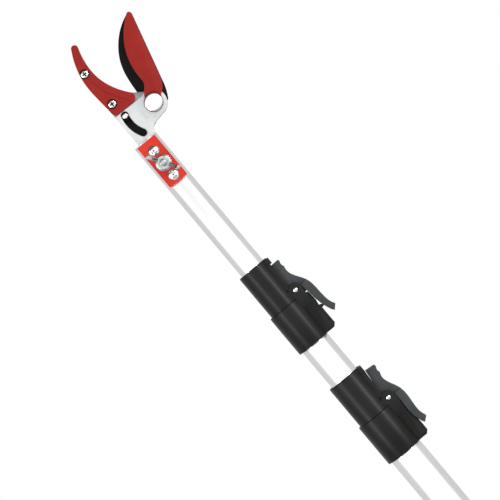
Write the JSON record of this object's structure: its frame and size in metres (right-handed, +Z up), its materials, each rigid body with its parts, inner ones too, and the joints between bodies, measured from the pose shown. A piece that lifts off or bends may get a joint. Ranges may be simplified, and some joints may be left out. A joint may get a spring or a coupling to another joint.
{
  "type": "telescoping long-reach pruner",
  "caption": "Telescoping long-reach pruner with a hooked cut-and-hold head, lever-locked pole sections, a saw seat with a wing nut, and a hand lever at the butt.",
  "frame": {"origin": "centre of the end cap's flat foot at the butt of the pole", "axes": "+Z up the pole to the cutting head; -Y towards the side with the pivot cap and the wing nut; +X towards the clamp levers"},
  "size_m": [0.1495, 0.0415, 1.1825],
  "materials": {
    "tube_aluminium": "clear anodised drawn tube",
    "cast_aluminium": "die-cast, fine bead-blasted",
    "clamp_nylon": "black glass-filled nylon, fine spark texture",
    "lever_nylon": "dark grey moulded nylon",
    "red_nylon": "red moulded nylon",
    "seat_enamel": "red powder-coated casting",
    "blade_coating": "black non-stick coating on steel",
    "counter_steel": "ground tool steel",
    "bright_zinc": "bright zinc-plated steel",
    "polished_nickel": "polished nickel-plated cap and pins",
    "rod_steel": "drawn steel",
    "rod_aluminium": "mill-finish drawn tube",
    "black_oxide": "black-oxide steel",
    "natural_nylon": "natural nylon",
    "grip_rubber": "soft black rubber",
    "handle_nylon": "black glass-filled nylon"
  },
  "bodies": {
    "lower_pole": {"end_cap": "grip_rubber", "handle_shell_front": "handle_nylon", "handle_shell_rear": "handle_nylon", "handle_screws": "bright_zinc", "trigger_pin": "polished_nickel", "return_spring": "rod_steel", "grip_sleeve": "grip_rubber", "lower_tube": "tube_aluminium", "lower_clamp_body": "clamp_nylon", "lower_clamp_pin": "polished_nickel"},
    "trigger": {"trigger_lever": "red_nylon", "trigger_crank": "rod_steel", "crank_cross_pin": "bright_zinc"},
    "lower_pull_rod": {"rod_yoke": "rod_steel", "lower_rod": "rod_aluminium", "lower_rod_clutch": "rod_steel"},
    "lower_lever": {"lower_clamp_lever": "lever_nylon"},
    "lower_shoe": {"lower_brake_shoe": "natural_nylon"},
    "mid_pole": {"mid_tube": "tube_aluminium", "mid_tube_bush": "natural_nylon", "upper_clamp_body": "clamp_nylon", "upper_clamp_pin": "polished_nickel"},
    "mid_pull_rod": {"mid_rod": "rod_aluminium", "mid_rod_clutch": "rod_steel"},
    "upper_lever": {"upper_clamp_lever": "lever_nylon"},
    "upper_shoe": {"upper_brake_shoe": "natural_nylon"},
    "upper_pole": {"upper_tube": "tube_aluminium", "upper_tube_bush": "natural_nylon", "head_frame": "cast_aluminium", "head_cover": "cast_aluminium", "head_screws": "bright_zinc", "counter_blade": "counter_steel", "hook_plate": "red_nylon", "hook_screws": "bright_zinc", "rod_guide": "natural_nylon", "pivot_bolt": "bright_zinc", "pivot_cap": "polished_nickel", "pivot_nut": "bright_zinc", "pivot_washer": "bright_zinc", "saw_seat": "seat_enamel", "seat_screws": "bright_zinc", "saw_stud": "bright_zinc"},
    "upper_pull_rod": {"upper_rod": "rod_steel", "rod_link": "black_oxide"},
    "blade": {"cutting_blade": "blade_coating", "crank_pin": "polished_nickel", "hold_plate": "red_nylon", "plate_spacers": "rod_steel", "plate_screws": "bright_zinc"},
    "washer": {"wing_washer": "bright_zinc"},
    "wing_nut": {"wing_nut": "bright_zinc"}
  },
  "joints": [
    {"name": "trigger_squeeze", "type": "hinge", "parent": "lower_pole", "child": "trigger", "pos_m": [-0.0255, 0, 0.084], "axis": [0, 1, 0], "range_deg": [0, 31.1]},
    {"name": "lower_rod_pull", "type": "slide", "parent": "lower_pole", "child": "lower_pull_rod", "axis": [0, 0, -1], "range_m": [0, 0.01387], "stiffness_N_per_m": 1800, "springref_m": -0.0125, "deforming": ["return_spring"]},
    {"name": "lower_lever_open", "type": "hinge", "parent": "lower_pole", "child": "lower_lever", "pos_m": [0.01475, 0, 0.8566], "axis": [0, -1, 0], "range_deg": [0, 7]},
    {"name": "lower_shoe_slide", "type": "slide", "parent": "lower_pole", "child": "lower_shoe", "axis": [1, 0, 0], "range_m": [0, 0.00021]},
    {"name": "mid_extension", "type": "slide", "parent": "lower_pole", "child": "mid_pole", "axis": [0, 0, 1], "range_m": [0, 0.52]},
    {"name": "mid_rod_pull", "type": "slide", "parent": "mid_pole", "child": "mid_pull_rod", "axis": [0, 0, -1], "range_m": [0, 0.0139]},
    {"name": "upper_lever_open", "type": "hinge", "parent": "mid_pole", "child": "upper_lever", "pos_m": [0.01325, 0, 0.9546], "axis": [0, -1, 0], "range_deg": [-7, 0]},
    {"name": "upper_shoe_slide", "type": "slide", "parent": "mid_pole", "child": "upper_shoe", "axis": [1, 0, 0], "range_m": [-0.00021, 0]},
    {"name": "upper_extension", "type": "slide", "parent": "mid_pole", "child": "upper_pole", "axis": [0, 0, 1], "range_m": [0, 0.52]},
    {"name": "upper_rod_pull", "type": "slide", "parent": "upper_pole", "child": "upper_pull_rod", "axis": [0, 0, -1], "range_m": [0, 0.0139]},
    {"name": "blade_close", "type": "hinge", "parent": "upper_pole", "child": "blade", "pos_m": [0.0215, 0, 1.1166], "axis": [0, -1, 0], "range_deg": [0, 37.1]},
    {"name": "washer_lift", "type": "slide", "parent": "upper_pole", "child": "washer", "axis": [0, -1, 0], "range_m": [0, 0.00161]},
    {"name": "wing_nut_turn", "type": "hinge", "parent": "washer", "child": "wing_nut", "pos_m": [0, 0, 1.08], "axis": [0, -1, 0], "range_deg": [0, 720]}
  ],
  "couplings": [
    {"joint": "trigger_squeeze", "follows": "lower_rod_pull", "rad_per_m": 39.009},
    {"joint": "mid_rod_pull", "follows": "lower_rod_pull", "ratio": 1},
    {"joint": "upper_rod_pull", "follows": "lower_rod_pull", "ratio": 1},
    {"joint": "blade_close", "follows": "lower_rod_pull", "rad_per_m": 46.559},
    {"joint": "lower_shoe_slide", "follows": "lower_lever_open", "m_per_rad": 0.001637},
    {"joint": "upper_shoe_slide", "follows": "upper_lever_open", "m_per_rad": 0.001637},
    {"joint": "washer_lift", "follows": "wing_nut_turn", "m_per_rad": 0.00012732}
  ]
}
